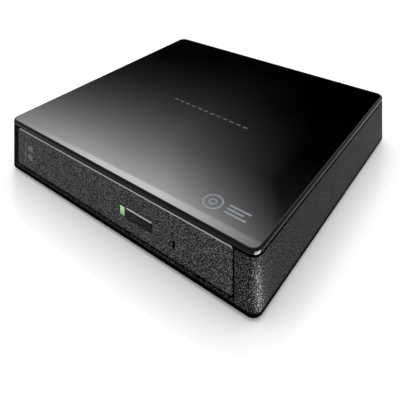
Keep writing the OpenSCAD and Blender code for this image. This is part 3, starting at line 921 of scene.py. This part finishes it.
def build_lid_marks():
    """A disc sign and bars near the lid's front right corner, and a row of dashes across its middle."""
    on_lid = (TOP_Z / MM - INK_T, TOP_Z / MM + INK_T)
    bm = bmesh.new()
    centre = [c * MM for c in DISC_AT]
    for outer, inner in DISC_RINGS:
        add_tube(bm, centre, outer * MM, inner * MM, on_lid[0] * MM, on_lid[1] * MM)
    for y, right in LID_BARS:
        add_print(bm, (LID_BARS_X, right), (y - BAR_HALF_H, y + BAR_HALF_H), on_lid)
    piece_from(bm, "lid_disc_mark", ink, "case")

    bm = bmesh.new()
    for k in range(DASH_COUNT):
        x = DASH_START[0] + DASH_PITCH * k
        y = DASH_START[1] + DASH_DRIFT * k
        add_print(bm, (x, x + DASH_L), (y - BAR_HALF_H, y + BAR_HALF_H), on_lid)
    piece_from(bm, "lid_dash_mark", faint_ink, "case")


def build_bezel_marks():
    """An upright bar and two small blocks at the bezel's left end."""
    bm = bmesh.new()
    for x0, x1, z0, z1 in BEZEL_BLOCKS:
        add_print(bm, (x0, x1), (FRONT / MM - INK_T, FRONT / MM + INK_T), (z0, z1))
    piece_from(bm, "bezel_marks", dim_ink, "tray")


build_lid_marks()
build_bezel_marks()


# ---- Stage: floor, studio and camera ----

def build_floor():
    m = Material("floor_white")
    white = (FLOOR_ALBEDO, FLOOR_ALBEDO, FLOOR_ALBEDO, 1)
    diffuse = m.add("ShaderNodeBsdfDiffuse", Color=white)
    glossy = m.add("ShaderNodeBsdfGlossy", Color=(1, 1, 1, 1), Roughness=FLOOR_ROUGHNESS)
    m.show_mix(FLOOR_GLOSS, diffuse.outputs[0], glossy.outputs[0])
    bm = bmesh.new()
    bmesh.ops.create_grid(bm, x_segments=1, y_segments=1, size=FLOOR_HALF)
    floor = object_from(bm, "studio_floor")
    floor.data.materials.append(m.material)


def build_kicker():
    """A bright card on the floor by the front right corner. Only mirror rays see it, on the round column."""
    m = Material("kicker_card")
    glow = m.add("ShaderNodeEmission", Strength=KICKER_LIGHT)
    clear = m.add("ShaderNodeBsdfTransparent")
    backfacing = m.add("ShaderNodeNewGeometry").outputs["Backfacing"]
    m.show_mix(backfacing, glow.outputs[0], clear.outputs[0])
    bm = bmesh.new()
    corner = Vector((HALF_W - CORNER_R, FRONT + CORNER_R))
    points = []
    for reach, turn in ((KICKER_NEAR, -KICKER_HALF_DEG), (KICKER_FAR, -KICKER_HALF_DEG),
                        (KICKER_FAR, KICKER_HALF_DEG), (KICKER_NEAR, KICKER_HALF_DEG)):
        a = math.radians(KICKER_TURN_DEG + turn)
        x = corner.x + reach * math.cos(a)
        y = corner.y + reach * math.sin(a)
        points.append(bm.verts.new((x, y, KICKER_Z)))
    bm.faces.new(points)
    card = object_from(bm, "kicker_card")
    card.data.materials.append(m.material)
    card.visible_camera = False
    card.visible_diffuse = False
    card.visible_shadow = False


def lid_spots(g, direction):
    """The lid spot, in mm, that shows a mirror ray to the camera's main station, and the ray's rise."""
    dx, dy, dz = g.split(direction)
    rise = g.calc("MAXIMUM", dz, LOWEST_RAY)
    height = (EYE.z - TOP_Z) / MM
    x = g.calc("MULTIPLY_ADD", g.calc("DIVIDE", dx, rise), height, EYE.x / MM)
    y = g.calc("MULTIPLY_ADD", g.calc("DIVIDE", dy, rise), height, EYE.y / MM)
    return x, y, rise


def panel_light(g, x, y):
    """Soft panel that fades from the front left to the back right."""
    falling = g.calc("MULTIPLY_ADD", y, -1 / PANEL_FADE_DEPTH, PANEL_FRONT_Y / PANEL_FADE_DEPTH)
    back = g.calc("MINIMUM", g.calc("EXPONENT", falling), 1.0)
    lean = g.calc("MULTIPLY_ADD", y, PANEL_LEAN, -PANEL_LEAN * PANEL_FRONT_Y)
    leaning_x = g.calc("ADD", x, g.calc("MINIMUM", lean, PANEL_LEAN_MOST))
    right = g.remap(leaning_x, *PANEL_RIGHT_X, 1.0, PANEL_RIGHT_LEVEL)
    left = g.remap(x, *PANEL_LEFT_X, PANEL_LEFT_LEVEL, 1.0)
    return g.product(back, right, left, PANEL_LIGHT)


def strip_light(g, x, y):
    """Bright strip along the lid's front edge."""
    before_edge = g.calc("SUBTRACT", g.remap(x, *STRIP_EDGE_X, *STRIP_EDGE_Y), y)
    inside = g.remap(before_edge, *STRIP_SOFT, 0.0, 1.0)
    left = g.remap(x, *STRIP_LEFT_X, STRIP_LEFT_LEVEL, 1.0)
    right = g.remap(x, *STRIP_RIGHT_X, 1.0, STRIP_RIGHT_LEVEL)
    return g.product(inside, left, right, STRIP_LIGHT)


def build_world():
    """A white studio. Its mirror image in the lid is a ceiling panel with a bright front strip."""
    world = bpy.data.worlds.new("studio")
    bpy.context.scene.world = world
    world.use_nodes = True
    world.cycles.sampling_method = "NONE"
    g = Graph(world.node_tree)
    g.tree.nodes.clear()
    x, y, rise = lid_spots(g, g.add("ShaderNodeTexCoord").outputs["Generated"])

    # the light that makes the lid show the wanted tone: undo the lid's own reflectance at each angle
    shown = g.calc("MAXIMUM", panel_light(g, x, y), strip_light(g, x, y))
    grazing = g.calc("POWER", g.inverse(rise), 5.0)
    reflectance = g.calc("MULTIPLY_ADD", grazing, LID_GRAZING, LID_FACING)
    wanted = g.calc("DIVIDE", g.calc("SUBTRACT", shown, LID_OWN_LIGHT), reflectance)
    near_light = g.calc("MINIMUM", wanted, MIRROR_MOST)

    far_x = g.remap(g.calc("ABSOLUTE", x), *FAR_X, 0.0, 1.0)
    far_y = g.remap(g.calc("ABSOLUTE", y), *FAR_Y, 0.0, 1.0)
    far = g.calc("MAXIMUM", far_x, far_y)
    mirror = g.calc("ADD", g.product(near_light, g.inverse(far)), g.product(far, FAR_LIGHT))

    glossy = g.add("ShaderNodeLightPath").outputs["Is Glossy Ray"]
    light = g.calc("ADD", g.product(mirror, glossy), g.product(g.inverse(glossy), ROOM_LIGHT))
    background = g.add("ShaderNodeBackground", Color=(1, 1, 1, 1), Strength=light)
    output = g.add("ShaderNodeOutputWorld")
    g.feed(output.inputs["Surface"], background.outputs[0])


def build_camera():
    """The main station looks level, with its lens shifted down. Any other station gets an unshifted lens."""
    data = bpy.data.cameras.new("camera")
    camera = bpy.data.objects.new("camera", data)
    bpy.context.scene.collection.objects.link(camera)
    bpy.context.scene.camera = camera
    camera.location = EYE
    camera.rotation_euler = (math.radians(90 - EYE_DOWN_DEG), 0, math.radians(EYE_TURN_DEG))
    data.sensor_width = SENSOR_MM
    data.lens = LENS_MM
    data.clip_start = 10 * MM
    distance = f"abs(x - {EYE.x:.6f}) + abs(y - {EYE.y:.6f}) + abs(z - {EYE.z:.6f})"
    for path, shift in (("shift_x", SHIFT_X), ("shift_y", SHIFT_Y)):
        driver = data.driver_add(path).driver
        for name in "xyz":
            variable = driver.variables.new()
            variable.name = name
            variable.type = "TRANSFORMS"
            variable.targets[0].id = camera
            variable.targets[0].transform_type = "LOC_" + name.upper()
            variable.targets[0].transform_space = "WORLD_SPACE"
        driver.expression = f"{shift} if {distance} < {STATION_SLACK} else 0.0"


build_floor()
build_kicker()
build_world()
build_camera()
bpy.context.scene.view_settings.view_transform = "Standard"
